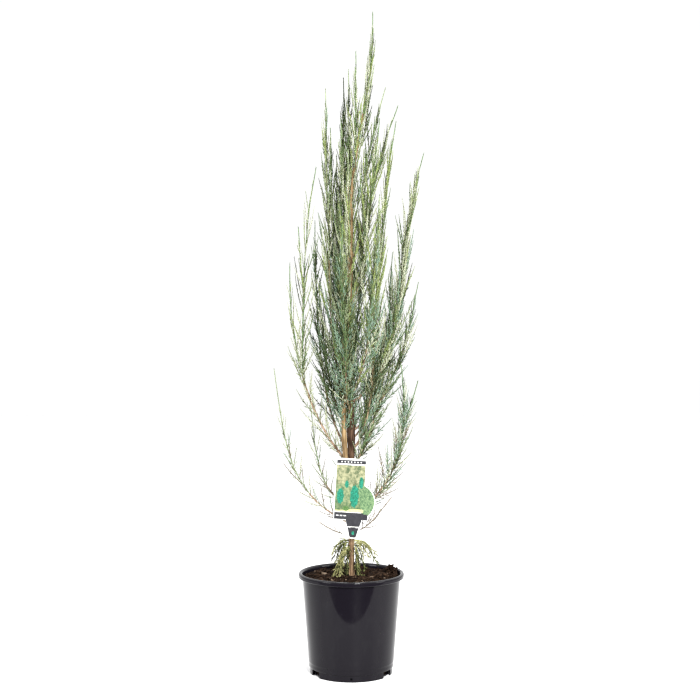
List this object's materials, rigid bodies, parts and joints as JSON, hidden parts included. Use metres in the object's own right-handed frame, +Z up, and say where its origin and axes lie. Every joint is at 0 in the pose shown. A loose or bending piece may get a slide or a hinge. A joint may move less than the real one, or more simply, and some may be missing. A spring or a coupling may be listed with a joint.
{
  "type": "juniper tree",
  "caption": "Young narrow, upright juniper with whip-like evergreen shoots, in a round black nursery pot of bark mix, with a plain plant label strapped to its stem.",
  "frame": {"origin": "centre of the flat underside of the pot", "axes": "+Z up along the trunk; -Y is the side that the plant label hangs on, seen in front"},
  "size_m": [0.2845, 0.2303, 1.247],
  "materials": {
    "pot_plastic": "black moulded plastic, softly glossy, lightly scuffed",
    "potting_mix": "dark damp composted bark with paler chips",
    "bark": "thin flaking red-brown bark, orange where it is fresh",
    "foliage": "scale leaves, blue-green to yellow-green, matt with a waxy bloom",
    "dry_foliage": "withered straw-yellow and pale green leaves",
    "label_card": null
  },
  "bodies": {
    "root": {"bough_back": "bark", "bough_back_left": "bark", "bough_back_right": "bark", "bough_left_main": "bark", "bough_low_back": "bark", "bough_low_left": "bark", "bough_low_left_inner": "bark", "bough_low_right": "bark", "bough_right_low_inner": "bark", "bough_right_main": "bark", "bough_right_outer": "bark", "bough_right_small": "bark", "bough_right_whip": "bark", "bough_second_stem": "bark", "dry_sprig_back": "dry_foliage", "dry_sprig_front_left": "dry_foliage", "dry_sprig_left": "dry_foliage", "dry_sprig_right": "dry_foliage", "label_strap": "label_card", "mass_back": "foliage", "mass_back_left": "foliage", "mass_back_right": "foliage", "mass_front_left": "foliage", "mass_front_right": "foliage", "mass_leader_tip": "foliage", "mass_left_inner": "foliage", "mass_left_low_inner": "foliage", "mass_left_main": "foliage", "mass_low_back": "foliage", "mass_low_left": "foliage", "mass_low_left_inner": "foliage", "mass_low_right": "foliage", "mass_low_twig_left": "foliage", "mass_low_twig_right": "foliage", "mass_right_low_inner": "foliage", "mass_right_main": "foliage", "mass_right_outer": "foliage", "mass_right_small": "foliage", "mass_right_upper": "foliage", "mass_right_whip": "foliage", "mass_second_stem": "foliage", "mass_upper_1": "foliage", "mass_upper_10": "foliage", "mass_upper_11": "foliage", "mass_upper_2": "foliage", "mass_upper_3": "foliage", "mass_upper_4": "foliage", "mass_upper_5": "foliage", "mass_upper_6": "foliage", "mass_upper_7": "foliage", "mass_upper_8": "foliage", "mass_upper_9": "foliage", "plant_label": "label_card", "pot": "pot_plastic", "potting_mix": "potting_mix", "trunk": "bark"}
  },
  "joints": []
}
